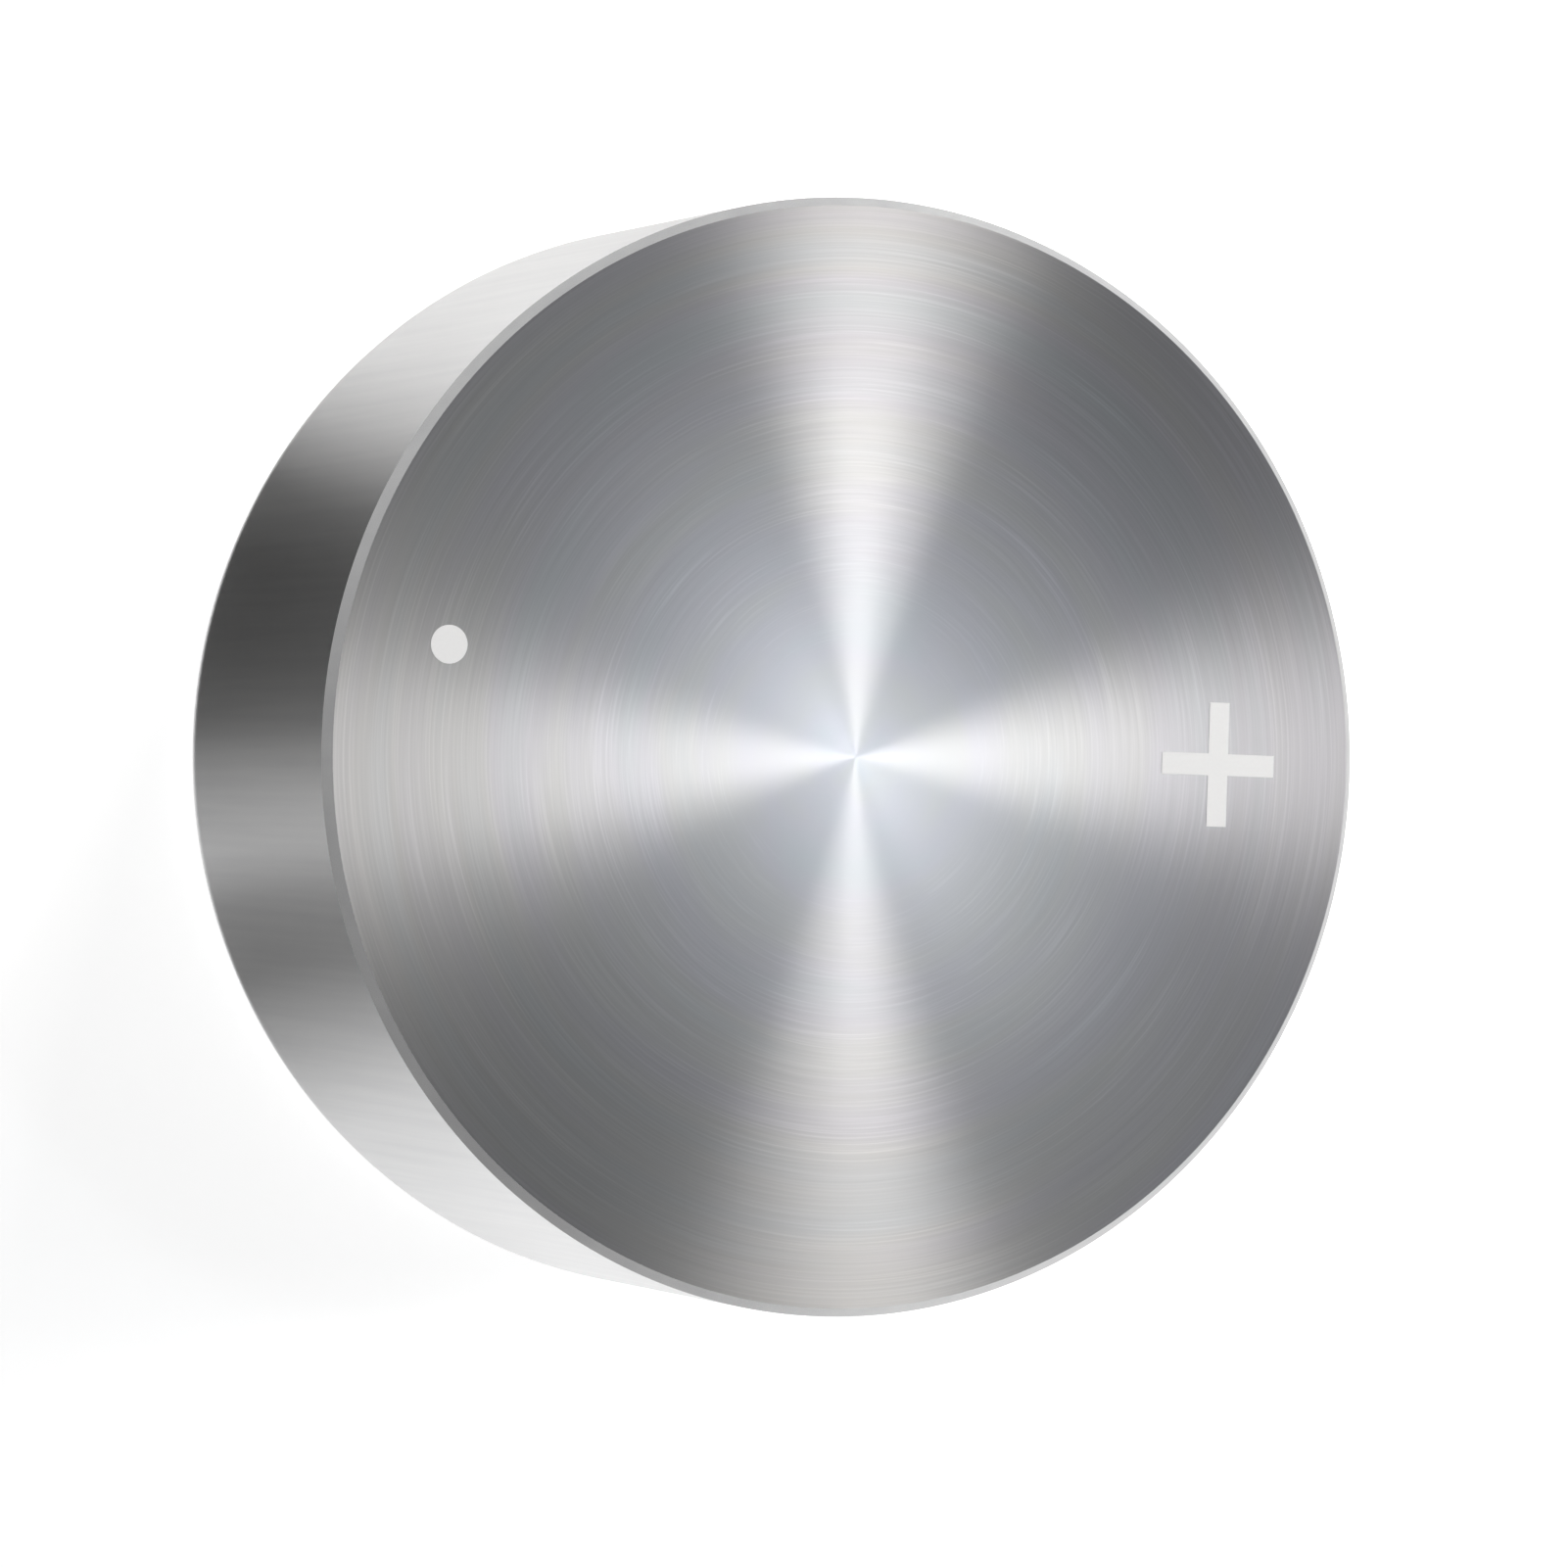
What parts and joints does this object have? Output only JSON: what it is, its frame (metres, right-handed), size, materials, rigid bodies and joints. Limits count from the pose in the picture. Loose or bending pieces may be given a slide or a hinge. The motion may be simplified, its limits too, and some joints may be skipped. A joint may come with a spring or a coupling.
{
  "type": "alkaline button cell",
  "caption": "Flat round alkaline button cell: a metal can with a plain positive face, crimped over a plastic seal ring that holds the raised negative cap.",
  "frame": {"origin": "centre of the flat negative terminal, on which the cell lies", "axes": "+Z along the cell's axis, out of the positive face; the cell is round about it"},
  "size_m": [0.0116, 0.0116, 0.0054],
  "materials": {
    "can_metal": "nickel-plated steel, spun fine lines on the face and a drawn wall",
    "cap_metal": "nickel-plated steel, satin, fine spun lines",
    "seal_nylon": "moulded nylon, natural off-white, slightly translucent",
    "cathode_mix": "pressed black powder, matt",
    "membrane_film": "thin smooth film",
    "pad_fibre": "soft fibre felt, damp",
    "anode_gel": "zinc powder in gel, grey and grainy"
  },
  "bodies": {
    "root": {"positive_can": "can_metal", "negative_cap": "cap_metal", "sealing_gasket": "seal_nylon", "cathode_pellet": "cathode_mix", "barrier_membrane": "membrane_film", "absorbent_pad": "pad_fibre", "zinc_anode": "anode_gel"}
  },
  "joints": []
}
